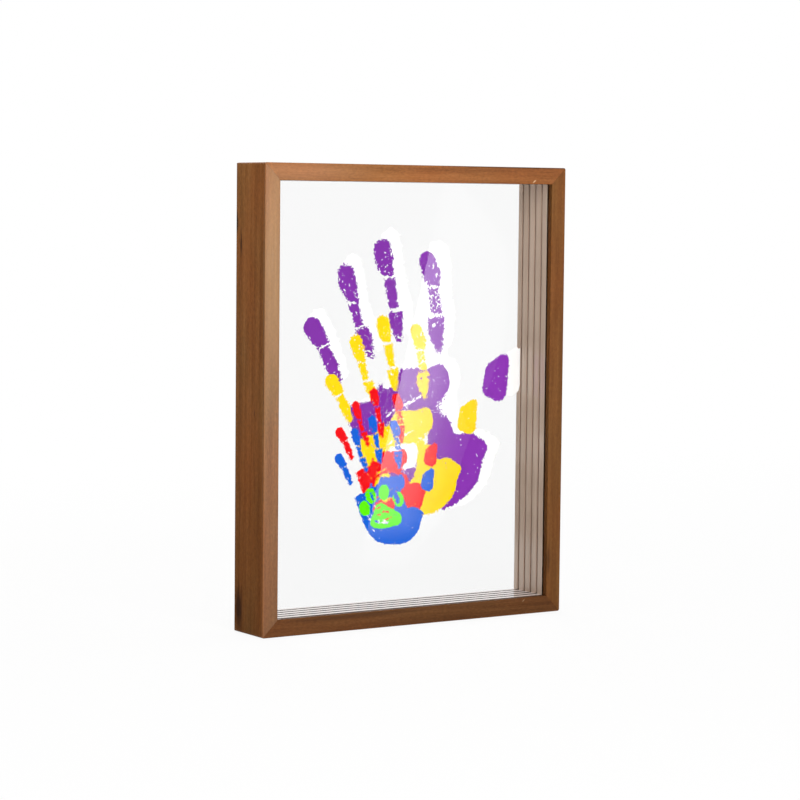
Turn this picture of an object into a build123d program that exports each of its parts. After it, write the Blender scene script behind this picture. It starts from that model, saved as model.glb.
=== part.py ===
from build123d import *
import os

os.makedirs("parts", exist_ok=True)

# Wooden frame, in millimetres. X runs to the right, Y to the back and Z up.
frame_width = 245.0
frame_height = 315.0
bar_face = 11.7  # width of each bar, seen from the front
lip_depth = 4.0  # thickness of the lip in front of the panels
rabbet_step = 4.5  # how far the rabbet is cut in behind the lip
corner_round = 1.4  # rounding of the outer corners
rear_round = 3.1  # rounding of the rear edges
front_ease = 0.6  # rounding of the front edges

# Stack of clear panels and spacer strips behind the lip.
panel_count = 5
panel_thickness = 1.5
spacer_depth = 6.0  # strip between two panels
rear_spacer_depth = 4.5  # strip behind the last panel
spacer_ease = 0.35  # rounding of the strips' inner edges
edge_clearance = 0.3  # room between the stack and the rabbet wall

# Folded nails across the mitres, driven in from the rear.
nail_leg = 4.0
nail_sheet = 0.5
nail_depth = 10.0
drive_clearance = 0.02  # room around a nail or screw in the wood

# Turn buttons that hold the stack in, each on its own screw.
button_thickness = 1.0
button_setback = 0.8  # from the button's tip to the strip's inner edge
button_radius = 2.3
button_tip_radius = 2.0
button_float = 0.1  # room under the button and under the screw head
pivot_inset = 2.5  # from the rabbet wall to the middle of a button's screw
stile_button_spacing = 150.0
rail_button_spacing = 110.0
screw_radius = 1.1
screw_length = 12.0
screw_point = 2.0
screw_head_radius = 1.9
screw_head_height = 1.2
screw_head_round = 0.6
recess_length = 2.1
recess_width = 0.55
recess_depth = 0.7
running_clearance = 0.05  # between a button's hole and its screw

# Sawtooth hanger on the rear of the top rail.
hanger_length = 42.0
hanger_height = 5.4
hanger_thickness = 0.8
hanger_tab = 7.0  # flat end that the nail goes through
hanger_rise = 1.0  # height of the bridge between the ends
tooth_pitch = 2.2
tooth_depth = 1.2
hanger_nail_radius = 0.6
hanger_nail_length = 8.0
hanger_nail_head_radius = 1.5
hanger_nail_head_height = 0.5

# Paint prints on the rear faces of the panels.
film_thickness = 0.15
film_margin = 0.2  # from a print's edge to the strip beside it

# One generic hand, around the middle of its palm, at the size of a grown hand.
# A finger is a row of pads from its tip down. A pad is the hull of its rounds: middle and radius.
fingers = {
    "little": (
        (((-92.8, 79.6), 7.2), ((-88.5, 66.9), 1.5), ((-81.1, 70.2), 1.5)),
        (((-86.6, 63.6), 1.0), ((-80.8, 66.6), 1.0), ((-77.0, 52.6), 5.2), ((-72.4, 43.4), 3.2)),
    ),
    "ring": (
        (((-66.6, 115.8), 6.7), ((-64.6, 108.5), 7.0), ((-64.3, 98.9), 1.5), ((-57.4, 97.6), 1.5)),
        (((-62.9, 94.0), 1.0), ((-57.2, 95.0), 1.0), ((-57.6, 80.2), 1.0), ((-53.5, 82.0), 1.0)),
        (((-57.4, 76.6), 1.0), ((-49.4, 78.8), 1.0), ((-48.4, 70.0), 4.4), ((-45.6, 60.0), 2.6)),
    ),
    "middle": (
        (((-37.0, 132.6), 7.2), ((-35.2, 124.0), 7.0), ((-36.2, 116.6), 1.5), ((-29.4, 115.8), 1.5)),
        (((-34.3, 111.4), 1.0), ((-27.5, 112.2), 1.0), ((-29.6, 93.0), 1.0), ((-24.4, 93.0), 1.0)),
        (((-29.8, 88.2), 1.5), ((-20.8, 88.6), 1.5), ((-26.6, 81.0), 4.0), ((-22.2, 70.2), 2.4)),
    ),
    "index": (
        (((0.3, 124.8), 6.6), ((4.2, 116.0), 7.4), ((1.2, 108.9), 1.5), ((9.6, 108.9), 1.5)),
        (((2.5, 104.4), 1.0), ((8.8, 104.8), 1.0), ((5.0, 89.4), 1.0), ((12.2, 88.8), 1.0)),
        (((3.0, 83.4), 1.5), ((13.8, 84.0), 1.5), ((8.8, 74.5), 6.2), ((10.8, 62.6), 2.6)),
    ),
    "thumb": (
        (((66.8, 53.0), 5.0), ((57.0, 46.5), 5.8), ((62.6, 32.0), 7.6), ((54.8, 33.5), 6.0)),
    ),
}
palm_outline = (
    (-63, 24), (-51, 27.5), (-42, 32), (-37.4, 40), (-33, 35.5), (-27.5, 39), (-22.5, 47.5), (-8, 49.5),
    (4, 50), (13, 52), (19.5, 45), (19.5, 34), (13, 25), (12, 19.5), (18, 15), (22.5, 8), (26, 2.5), (36, 3),
    (46, -1), (53.5, -7), (50, -17), (46.5, -30), (36, -42), (22, -49.5), (0, -50), (-16, -48), (-30, -42),
    (-43, -28), (-53, -10), (-60, 8),
)
hollow_outline = (
    (-30, 12), (-22, 17), (-8, 18.5), (2, 16.5), (3.2, 6), (1.8, -5), (-1.5, -14), (-6.5, -18.2),
    (-12, -19.8), (-18.5, -21.5), (-25, -15), (-31, -4), (-33.5, 5),
)

# Each hand: its panel, the middle of its palm from the frame's middle, and its scale.
hands = {
    "blue_hand_print": (2, (-11.9, -79.1), 0.473),
    "red_hand_print": (3, (-5.4, -63.3), 0.488),
    "yellow_hand_print": (4, (15.6, -48.7), 0.737),
    "purple_hand_print": (5, (29.1, -33.1), 1.0),
}
# The white coat: the last hand once more, without gaps, a little larger and set off to one side.
coat_panel = 5
coat_place = (37.5, -30.9)
coat_scale = 1.04

# A small paw on the first panel: one pad, and four toes around it with their tilts.
paw_centre = (-22.1, -83.2)
paw_pad = (((-4.5, 6.0), 4.6), ((-8.8, -2.2), 4.0), ((8.0, -1.0), 4.7), ((-3.5, -4.2), 3.0))
paw_toes = (((-17.5, 7.6), 25), ((-12.6, 15.8), 18), ((-2.0, 17.7), 4), ((9.8, 12.4), 24))
toe_radii = (4.3, 5.4)

# Sizes that follow from those above.
stack_pitch = panel_thickness + spacer_depth
frame_depth = lip_depth + panel_count * stack_pitch - spacer_depth + rear_spacer_depth
window_width = frame_width - 2 * bar_face
window_height = frame_height - 2 * bar_face
pocket_width = window_width + 2 * rabbet_step
pocket_height = window_height + 2 * rabbet_step
panel_width = pocket_width - 2 * edge_clearance
panel_height = pocket_height - 2 * edge_clearance
strip_width = rabbet_step - edge_clearance
wall = bar_face - rabbet_step
middle_z = frame_height / 2
rear_y = frame_depth / 2


def plane_at(depth):
    # Upright plane this far behind the front face, seen from the front.
    return Plane.XZ.offset(frame_depth / 2 - depth)


def panel_front(number):
    return lip_depth + (number - 1) * stack_pitch


def save(part, name):
    part.label = name
    export_step(part, f"parts/{name}.step")


# Where the turn buttons turn, on the wall beside the rabbet, and the way each points inwards.
pivot_x = pocket_width / 2 + pivot_inset
pivot_z = pocket_height / 2 + pivot_inset
button_places = {}
for level, side in (("lower", -1), ("upper", 1)):
    z = middle_z + side * stile_button_spacing / 2
    button_places[f"left_{level}_button"] = ((-pivot_x, z), 0)
    button_places[f"right_{level}_button"] = ((pivot_x, z), 180)
for hand, side in (("left", -1), ("right", 1)):
    x = side * rail_button_spacing / 2
    button_places[f"bottom_{hand}_button"] = ((x, middle_z - pivot_z), 90)
    button_places[f"top_{hand}_button"] = ((x, middle_z + pivot_z), 270)
pivots = [place for place, turn in button_places.values()]

# Hanger: it stands on the top rail's wall, above the pocket.
hanger_base = frame_height - wall + edge_clearance
hanger_nail_x = (hanger_length - hanger_tab) / 2
hanger_nail_z = hanger_base + hanger_height / 2
hanger_nail_places = [(-hanger_nail_x, hanger_nail_z), (hanger_nail_x, hanger_nail_z)]
corner_signs = [(x, z) for x in (-1, 1) for z in (-1, 1)]
fold_x = (frame_width - wall) / 2
fold_z = (frame_height - wall) / 2


def fold_outlines(clearance):
    # Right-angled sections of the folded nails, one across each mitre.
    half = nail_sheet / 2 + clearance
    end = nail_leg + clearance
    fold = ((half, half), (-end, half), (-end, -half), (-half, -half), (-half, -end), (half, -end))
    return [
        [(x_sign * (fold_x + u), middle_z + z_sign * (fold_z + v)) for u, v in fold]
        for x_sign, z_sign in corner_signs
    ]


# The whole frame in one piece, before it is parted at the mitres.
with BuildPart() as frame_blank:
    with BuildSketch(plane_at(0)):
        with Locations((0, middle_z)):
            Rectangle(frame_width, frame_height)
    extrude(amount=-frame_depth)
    fillet(frame_blank.faces().sort_by(Axis.Y)[-1].edges(), radius=rear_round)
    with BuildSketch(plane_at(0)):
        with Locations((0, middle_z)):
            RectangleRounded(frame_width, frame_height, corner_round)
    extrude(amount=-frame_depth, mode=Mode.INTERSECT)
    with BuildSketch(plane_at(0)):
        with Locations((0, middle_z)):
            Rectangle(window_width, window_height)
    extrude(amount=-frame_depth, mode=Mode.SUBTRACT)
    fillet(frame_blank.faces().sort_by(Axis.Y)[0].edges(), radius=front_ease)
    with BuildSketch(plane_at(lip_depth)):
        with Locations((0, middle_z)):
            Rectangle(pocket_width, pocket_height)
    extrude(amount=lip_depth - frame_depth, mode=Mode.SUBTRACT)
    with BuildSketch(plane_at(frame_depth)):
        for outline in fold_outlines(drive_clearance):
            with BuildLine():
                Polyline(*outline, close=True)
            make_face()
    extrude(amount=nail_depth + drive_clearance, mode=Mode.SUBTRACT)
    with BuildSketch(plane_at(frame_depth)):
        with Locations(*pivots):
            Circle(screw_radius + drive_clearance)
    extrude(amount=screw_length + drive_clearance, mode=Mode.SUBTRACT)
    with BuildSketch(plane_at(frame_depth)):
        with Locations(*hanger_nail_places):
            Circle(hanger_nail_radius + drive_clearance)
    extrude(amount=hanger_nail_length + drive_clearance, mode=Mode.SUBTRACT)

# The four bars, each a mitred side of the frame.
outer_x = frame_width / 2
inner_x = outer_x - bar_face
inner_bottom = bar_face
inner_top = frame_height - bar_face
bar_outlines = {
    "left_stile": ((-outer_x, 0), (-inner_x, inner_bottom), (-inner_x, inner_top), (-outer_x, frame_height)),
    "right_stile": ((outer_x, 0), (inner_x, inner_bottom), (inner_x, inner_top), (outer_x, frame_height)),
    "bottom_rail": ((-outer_x, 0), (outer_x, 0), (inner_x, inner_bottom), (-inner_x, inner_bottom)),
    "top_rail": (
        (-outer_x, frame_height), (outer_x, frame_height), (inner_x, inner_top), (-inner_x, inner_top),
    ),
}
for bar_name, corners in bar_outlines.items():
    with BuildPart() as bar:
        add(frame_blank.part)
        with BuildSketch(plane_at(0)):
            with BuildLine():
                Polyline(*corners, close=True)
            make_face()
        extrude(amount=-frame_depth, mode=Mode.INTERSECT)
    save(bar.part, bar_name)

# Folded nails, flush with the rear of the frame.
with BuildPart() as corner_v_nails:
    with BuildSketch(plane_at(frame_depth)):
        for outline in fold_outlines(0):
            with BuildLine():
                Polyline(*outline, close=True)
            make_face()
    extrude(amount=nail_depth)
save(corner_v_nails.part, "corner_v_nails")

# Clear panels, front to rear.
for number in range(1, panel_count + 1):
    with BuildPart() as panel:
        with BuildSketch(plane_at(panel_front(number))):
            with Locations((0, middle_z)):
                Rectangle(panel_width, panel_height)
        extrude(amount=-panel_thickness)
    save(panel.part, f"panel_{number}")

# Spacer strips: the upright ones run the whole height, the others lie between them.
upright_x = (panel_width - strip_width) / 2
level_z = (panel_height - strip_width) / 2
level_length = panel_width - 2 * strip_width
strips = {
    "left": ((-upright_x, 0), (strip_width, panel_height), Axis.X, Axis.Z),
    "right": ((upright_x, 0), (strip_width, panel_height), -Axis.X, Axis.Z),
    "bottom": ((0, -level_z), (level_length, strip_width), Axis.Z, Axis.X),
    "top": ((0, level_z), (level_length, strip_width), -Axis.Z, Axis.X),
}
for number in range(1, panel_count + 1):
    depth = rear_spacer_depth if number == panel_count else spacer_depth
    for side, (place, size, inwards, lengthwise) in strips.items():
        with BuildPart() as strip:
            with BuildSketch(plane_at(panel_front(number) + panel_thickness)):
                with Locations((place[0], middle_z + place[1])):
                    Rectangle(*size)
            extrude(amount=-depth)
            inner_face = strip.faces().sort_by(inwards)[-1]
            fillet(inner_face.edges().filter_by(lengthwise), radius=spacer_ease)
        save(strip.part, f"spacer_{number}_{side}")


def add_pad(rounds, scale):
    # One patch of paint: the hull of its rounds.
    edges = ShapeList()
    for place, radius in rounds:
        with Locations(Vector(*place) * scale):
            edges += Circle(radius * scale).edges()
    make_hull(edges)


def film_plane(number, place, layer):
    # Plane on a panel's rear face, behind this many films, around a print's middle.
    depth = panel_front(number) + panel_thickness + layer * film_thickness
    return plane_at(depth) * Location((place[0], middle_z + place[1]))


# Hand prints on the rear faces of their panels, trimmed where the spacer strips begin.
film_width = window_width - 2 * film_margin
film_height = window_height - 2 * film_margin
for print_name, (number, place, scale) in hands.items():
    with BuildPart() as hand_print:
        with BuildSketch(film_plane(number, place, 0)):
            with BuildLine():
                Spline(*(Vector(*point) * scale for point in palm_outline), periodic=True)
            make_face()
            with BuildLine():
                Spline(*(Vector(*point) * scale for point in hollow_outline), periodic=True)
            make_face(mode=Mode.SUBTRACT)
            for pads in fingers.values():
                for rounds in pads:
                    add_pad(rounds, scale)
        extrude(amount=-film_thickness)
        with BuildSketch(plane_at(0)):
            with Locations((0, middle_z)):
                Rectangle(film_width, film_height)
        extrude(amount=-frame_depth, mode=Mode.INTERSECT)
    save(hand_print.part, print_name)

# White coat, one film behind the last hand: each pad runs on into the next.
with BuildPart() as white_coat:
    with BuildSketch(film_plane(coat_panel, coat_place, 1)):
        with BuildLine():
            Spline(*(Vector(*point) * coat_scale for point in palm_outline), periodic=True)
        make_face()
        with BuildLine():
            Spline(*(Vector(*point) * coat_scale for point in hollow_outline), periodic=True)
        make_face(mode=Mode.SUBTRACT)
        for pads in fingers.values():
            for first, following in zip(pads, pads[1:] or pads):
                add_pad(first + following, coat_scale)
    extrude(amount=-film_thickness)
    with BuildSketch(plane_at(0)):
        with Locations((0, middle_z)):
            Rectangle(film_width, film_height)
    extrude(amount=-frame_depth, mode=Mode.INTERSECT)
save(white_coat.part, "white_coat")

# Paw print on the first panel.
with BuildPart() as paw_print:
    with BuildSketch(film_plane(1, paw_centre, 0)):
        add_pad(paw_pad, 1)
        for place, tilt in paw_toes:
            with Locations(Location((*place, 0), (0, 0, tilt))):
                Ellipse(*toe_radii)
    extrude(amount=-film_thickness)
save(paw_print.part, "paw_print")

# Turn buttons, lying on the rear of the frame and over the rear strips.
button_reach = pivot_inset + rabbet_step - button_setback
for button_name, (place, turn) in button_places.items():
    with BuildPart() as button:
        seat = plane_at(frame_depth + button_float) * Location((*place, 0), (0, 0, turn))
        with BuildSketch(seat):
            ends = Circle(button_radius).edges()
            with Locations((button_reach - button_tip_radius, 0)):
                ends += Circle(button_tip_radius).edges()
            make_hull(ends)
            Circle(screw_radius + running_clearance, mode=Mode.SUBTRACT)
        extrude(amount=-button_thickness)
    save(button.part, button_name)

# Screw: a round head with a cross recess, a plain shank and a point.
head_seat = rear_y + 2 * button_float + button_thickness
head_top = head_seat + screw_head_height
shank_end = rear_y - screw_length
with BuildPart() as screw:
    with BuildSketch(Plane.XY):
        with BuildLine():
            Polyline(
                (0, shank_end),
                (screw_radius, shank_end + screw_point),
                (screw_radius, head_seat),
                (screw_head_radius, head_seat),
                (screw_head_radius, head_top),
                (0, head_top),
                close=True,
            )
        make_face()
    revolve(axis=Axis.Y)
    fillet(screw.faces().sort_by(Axis.Y)[-1].edges(), radius=screw_head_round)
    with BuildSketch(Plane.XZ.offset(-head_top)):
        Rectangle(recess_length, recess_width)
        Rectangle(recess_width, recess_length)
    extrude(amount=recess_depth, mode=Mode.SUBTRACT)

with BuildPart() as button_screws:
    with Locations(*((x, 0, z) for x, z in pivots)):
        add(screw.part)
save(button_screws.part, "button_screws")

# Sawtooth hanger: flat ends, and a raised bridge with teeth along its lower edge.
bridge_half = hanger_length / 2 - hanger_tab - hanger_rise
hanger_half = hanger_length / 2
joggle = bridge_half + hanger_rise
hanger_section = (
    (-hanger_half, 0), (-joggle, 0), (-bridge_half, hanger_rise), (bridge_half, hanger_rise), (joggle, 0),
    (hanger_half, 0), (hanger_half, hanger_thickness), (joggle, hanger_thickness),
    (bridge_half, hanger_rise + hanger_thickness), (-bridge_half, hanger_rise + hanger_thickness),
    (-joggle, hanger_thickness), (-hanger_half, hanger_thickness),
)
tooth_count = int(2 * bridge_half / tooth_pitch) - 1
with BuildPart() as sawtooth_hanger:
    with BuildSketch(Plane.XY.offset(hanger_base)):
        with BuildLine():
            Polyline(*((x, rear_y + y) for x, y in hanger_section), close=True)
        make_face()
    extrude(amount=hanger_height)
    with BuildSketch(plane_at(frame_depth)):
        with Locations((0, hanger_base)):
            with GridLocations(tooth_pitch, 0, tooth_count, 1):
                with BuildLine():
                    Polyline((-tooth_pitch / 2, 0), (tooth_pitch / 2, 0), (0, tooth_depth), close=True)
                make_face()
    extrude(amount=-(hanger_rise + hanger_thickness), mode=Mode.SUBTRACT)
    with BuildSketch(plane_at(frame_depth)):
        with Locations(*hanger_nail_places):
            Circle(hanger_nail_radius + drive_clearance)
    extrude(amount=-hanger_thickness, mode=Mode.SUBTRACT)
save(sawtooth_hanger.part, "sawtooth_hanger")

# Nails through the hanger's ends into the top rail.
with BuildPart() as hanger_nails:
    with BuildSketch(plane_at(frame_depth + hanger_thickness)):
        with Locations(*hanger_nail_places):
            Circle(hanger_nail_radius)
    extrude(amount=hanger_thickness + hanger_nail_length)
    with BuildSketch(plane_at(frame_depth + hanger_thickness)):
        with Locations(*hanger_nail_places):
            Circle(hanger_nail_head_radius)
    extrude(amount=-hanger_nail_head_height)
save(hanger_nails.part, "hanger_nails")
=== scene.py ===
import bpy
import bmesh
import math
from mathutils import Matrix, Vector, kdtree, noise


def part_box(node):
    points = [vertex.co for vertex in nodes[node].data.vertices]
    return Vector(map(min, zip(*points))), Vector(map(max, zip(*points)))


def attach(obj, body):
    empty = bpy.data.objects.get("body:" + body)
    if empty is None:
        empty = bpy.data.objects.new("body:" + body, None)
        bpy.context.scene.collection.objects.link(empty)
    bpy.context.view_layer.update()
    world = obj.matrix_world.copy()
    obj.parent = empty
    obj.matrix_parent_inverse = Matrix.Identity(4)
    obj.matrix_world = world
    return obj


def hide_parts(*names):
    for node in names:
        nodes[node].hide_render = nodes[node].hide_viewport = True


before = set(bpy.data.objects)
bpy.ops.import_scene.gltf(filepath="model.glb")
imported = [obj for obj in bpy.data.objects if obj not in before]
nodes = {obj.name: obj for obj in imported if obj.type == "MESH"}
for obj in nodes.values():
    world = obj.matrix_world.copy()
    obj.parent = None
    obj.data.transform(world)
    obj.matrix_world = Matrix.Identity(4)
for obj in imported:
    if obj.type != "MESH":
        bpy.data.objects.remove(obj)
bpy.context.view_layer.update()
scene = bpy.context.scene
bpy.ops.object.select_all(action="DESELECT")
print("loaded", len(nodes), "CAD nodes")

# overall sizes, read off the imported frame
frameLow = Vector((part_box("left_stile")[0].x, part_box("left_stile")[0].y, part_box("bottom_rail")[0].z))
frameHigh = Vector((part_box("right_stile")[1].x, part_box("left_stile")[1].y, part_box("top_rail")[1].z))
halfWidth = frameHigh.x
halfHeight = ((frameLow + frameHigh) / 2).z


# camera

cameraView = {
    "place": (-0.9908, -1.5095, 0.2877),
    "azimuth": -33.219,  # degrees, 0 looks along +Y
    "elevation": 4.249,
    "roll": 0.58,
    "focalPixels": 2621.0,  # in the 800 pixel picture
    "picture": 800.0,
    "sensor": 36.0,
    "clipEnd": 50.0,
}


def cameraAxes(view):
    az = math.radians(view["azimuth"])
    el = math.radians(view["elevation"])
    roll = math.radians(view["roll"])
    back = Vector((math.sin(az) * math.cos(el), -math.cos(az) * math.cos(el), math.sin(el)))
    side = Vector((0, 0, 1)).cross(back).normalized()
    over = back.cross(side)
    right = side * math.cos(roll) + over * math.sin(roll)
    up = over * math.cos(roll) - side * math.sin(roll)
    return right, up, back


def makeCamera(view):
    right, up, back = cameraAxes(view)
    data = bpy.data.cameras.new("photoCamera")
    data.sensor_width = view["sensor"]
    data.lens = view["sensor"] * view["focalPixels"] / view["picture"]
    data.clip_end = view["clipEnd"]
    camera = bpy.data.objects.new("photoCamera", data)
    scene.collection.objects.link(camera)
    turn = Matrix((right, up, back)).transposed().to_4x4()
    camera.matrix_world = Matrix.Translation(view["place"]) @ turn
    scene.camera = camera


makeCamera(cameraView)
print("camera set")


# small helpers for materials

def newMaterial(name):
    material = bpy.data.materials.new(name)
    material.use_nodes = True
    return material, material.node_tree, material.node_tree.nodes["Principled BSDF"]


def addNode(tree, kind, inputs=None, **settings):
    node = tree.nodes.new("ShaderNode" + kind)
    for key, value in settings.items():
        setattr(node, key, value)
    for key, value in (inputs or {}).items():
        socket = node.inputs[key]
        if isinstance(value, bpy.types.NodeSocket):
            tree.links.new(value, socket)
        else:
            socket.default_value = value
    return node


def mathNode(tree, operation, *values):
    return addNode(tree, "Math", dict(enumerate(values)), operation=operation).outputs[0]


def rangeNode(tree, value, low, high, toLow=0.0, toHigh=1.0):
    node = addNode(tree, "MapRange", {"Value": value, "From Min": low, "From Max": high})
    node.inputs["To Min"].default_value = toLow
    node.inputs["To Max"].default_value = toHigh
    return node.outputs[0]


def rampNode(tree, value, stops):
    node = addNode(tree, "ValToRGB", {"Fac": value})
    ramp = node.color_ramp
    while len(ramp.elements) < len(stops):
        ramp.elements.new(0.5)
    for element, (place, colour) in zip(ramp.elements, stops):
        element.position = place
        element.color = (*colour, 1.0)
    return node.outputs[0]


def mixNode(tree, blend, factor, first, second):
    node = addNode(tree, "Mix", data_type="RGBA", blend_type=blend)
    for index, value in ((0, factor), (6, first), (7, second)):
        if isinstance(value, bpy.types.NodeSocket):
            tree.links.new(value, node.inputs[index])
        elif index == 0:
            node.inputs[0].default_value = value
        else:
            node.inputs[index].default_value = (*value, 1.0)
    return node.outputs[2]


def noiseNode(tree, vector, scale, detail=2.0, roughness=0.5, distortion=0.0):
    settings = {"Vector": vector, "Scale": scale, "Detail": detail}
    settings.update({"Roughness": roughness, "Distortion": distortion})
    return addNode(tree, "TexNoise", settings).outputs["Fac"]


def objectCoords(tree):
    return addNode(tree, "TexCoord").outputs["Object"]


def mapped(tree, coords, place=(0, 0, 0), turn=(0, 0, 0), scale=(1, 1, 1)):
    inputs = {"Vector": coords, "Location": place, "Rotation": turn, "Scale": scale}
    return addNode(tree, "Mapping", inputs).outputs[0]


def slower(along, rate):
    # scale that draws a pattern out along one axis
    return [rate if axis == along else 1.0 for axis in range(3)]


def weighedNode(tree, values, weights):
    total = mathNode(tree, "MULTIPLY", values[0], weights[0])
    for value, weight in zip(values[1:], weights[1:]):
        total = mathNode(tree, "MULTIPLY_ADD", value, weight, total)
    return total


def addBump(tree, shader, height, strength, distance):
    bump = addNode(tree, "Bump", {"Height": height, "Strength": strength, "Distance": distance})
    tree.links.new(bump.outputs[0], shader.inputs["Normal"])


def wear(node, material):
    nodes[node].data.materials.clear()
    nodes[node].data.materials.append(material)


# walnut bars

walnutLook = {
    "dark": (0.140, 0.049, 0.011),
    "middle": (0.232, 0.090, 0.023),
    "pale": (0.308, 0.132, 0.040),
    "streak": (210.0, 4.0, 0.55, 0.3),  # noise: scale, detail, roughness, distortion
    "band": (60.0, 2.0, 0.5, 0.2),
    "fibre": (1250.0, 3.0, 0.6),
    "pore": (2100.0, 2.0, 0.5),
    "speckle": (900.0, 3.0, 0.65),
    "patch": (24.0, 2.0),
    "stretch": 0.04,  # grain is this much slower along a bar
    "speckleStretch": 0.4,
    "patchStretch": 0.3,
    "weights": (0.45, 0.30, 0.25),  # shares of streak, band and fibre in the figure
    "stops": (0.32, 0.5, 0.68),  # figure at the dark, middle and pale colours
    "tintStops": (0.36, 0.64),
    "fleckRange": (0.32, 0.68, 0.82, 1.17),
    "pitRange": (0.60, 0.74),
    "pitShare": 0.30,
    "pitShade": 0.7,
    "pitDepth": -0.8,
    "ruddy": (1.08, 0.95, 0.86),
    "olive": (0.92, 1.04, 1.06),
    "glueLine": 0.00030,  # half width of the dark line at a mitre
    "glueCore": 0.3,  # part of it that is fully dark
    "glueShare": 0.45,
    "glueShade": 0.5,
    "lipInset": (0.0004, 0.0001),  # the inner face begins this far short of the face's width
    "lipBehind": (0.0004, 0.0008),
    # worn edges with painted highlight: the front outer arrises are lightened, partly for wear and partly for
    # the light they catch
    "wornHighlightEdge": 0.0009,
    "wornHighlightShare": 0.35,
    "wornHighlightBand": (0.4, 0.6),
    "wornHighlightShade": 1.2,
    "markFray": 0.7,
    "markEdge": (0.35, 1.1),
    "roughRange": (0.3, 0.7, 0.56, 0.42),
    "bump": (0.2, 0.0002),  # strength, distance
    "glossFade": (0.0008, 0.002),
    "plainGloss": 0.05,  # specular level away from the waxed fronts
}
walnutBars = {  # painted light: each bar's pair of shades runs from its low end to its high end, lighter towards the upper left and darker towards the lower right, where the light falls off
    "left_stile": {
        "along": 2, "paintedLightRamp": (0.72, 1.19), "gloss": 0.22, "lipPaintedShade": 0.4, "shift": (0.31, 0.12, 0.0),
        "hue": (1.0, 0.95, 0.93), "marksAndPaintedLight": (
            # painted sheen: a pale patch high on the front face, for the lamp's reflection there
            {"middle": (-0.1166, -0.0200, 0.240), "size": (0.009, 0.003, 0.090), "strength": 0.33,
             "colour": (0.43, 0.27, 0.115)},
            {"middle": (-0.1225, 0.0125, 0.017), "size": (0.006, 0.0060, 0.018), "strength": 0.75,
             "colour": (0.020, 0.009, 0.006)},
            {"middle": (-0.1222, 0.0174, 0.275), "size": (0.003, 0.0024, 0.009), "strength": 0.95,
             "colour": (0.012, 0.006, 0.004)},
            {"middle": (-0.1225, 0.0112, 0.261), "size": (0.002, 0.0013, 0.009), "strength": 0.8,
             "colour": (0.030, 0.012, 0.005)},
            {"middle": (-0.1225, -0.0077, 0.149), "size": (0.002, 0.0008, 0.003), "strength": 0.6,
             "colour": (0.030, 0.012, 0.005)},
            # painted shade: a dark line on the side face along the front arris, where the rounded edge turns
            # from the light
            {"middle": (-0.1225, -0.0193, 0.200), "size": (0.002, 0.0007, 0.150), "strength": 0.45,
             "colour": (0.085, 0.030, 0.009)},
        )},
    "right_stile": {
        "along": 2, "paintedLightRamp": (0.63, 0.82), "gloss": 0.05, "lipPaintedShade": 0.75, "shift": (1.73, 0.55, 0.4),
        "hue": (1.0, 0.91, 0.85), "marksAndPaintedLight": (
            {"middle": (0.1120, -0.0200, 0.037), "size": (0.0018, 0.003, 0.012), "strength": 0.5,
             "colour": (0.035, 0.014, 0.006)},
        )},
    "top_rail": {
        "along": 0, "paintedLightRamp": (1.32, 1.02), "gloss": 0.07, "lipPaintedShade": 0.4, "shift": (0.2, 2.36, 0.71),
        "hue": (1.03, 0.92, 0.92), "marksAndPaintedLight": (
            # painted sheen: a pale pinkish patch at the left end of the front face, for the lamp's reflection
            # there
            {"middle": (-0.1000, -0.0200, 0.3090), "size": (0.060, 0.006, 0.009), "strength": 0.2,
             "colour": (0.45, 0.26, 0.165)},
            {"middle": (0.0953, -0.0200, 0.3052), "size": (0.0020, 0.003, 0.0005), "strength": 0.85,
             "turn": 38.0, "colour": (0.72, 0.47, 0.26)},
            {"middle": (0.0800, -0.0200, 0.3153), "size": (0.075, 0.006, 0.0014), "strength": 0.9,
             "colour": (0.045, 0.015, 0.006)},
        )},
    "bottom_rail": {
        "along": 0, "paintedLightRamp": (0.58, 0.48), "gloss": 0.05, "lipPaintedShade": 0.65, "shift": (1.1, 3.17, 1.93),
        "hue": (1.03, 0.90, 0.95), "marksAndPaintedLight": (
            {"middle": (0.0907, -0.0200, 0.0098), "size": (0.0016, 0.002, 0.0004), "strength": 0.4,
             "turn": 40.0, "colour": (0.60, 0.38, 0.22)},
            {"middle": (-0.0450, -0.0200, 0.0096), "size": (0.060, 0.006, 0.0018), "strength": 0.5,
             "colour": (0.050, 0.020, 0.008)},
        )},
}
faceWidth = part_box("left_stile")[1].x - frameLow.x


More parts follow.
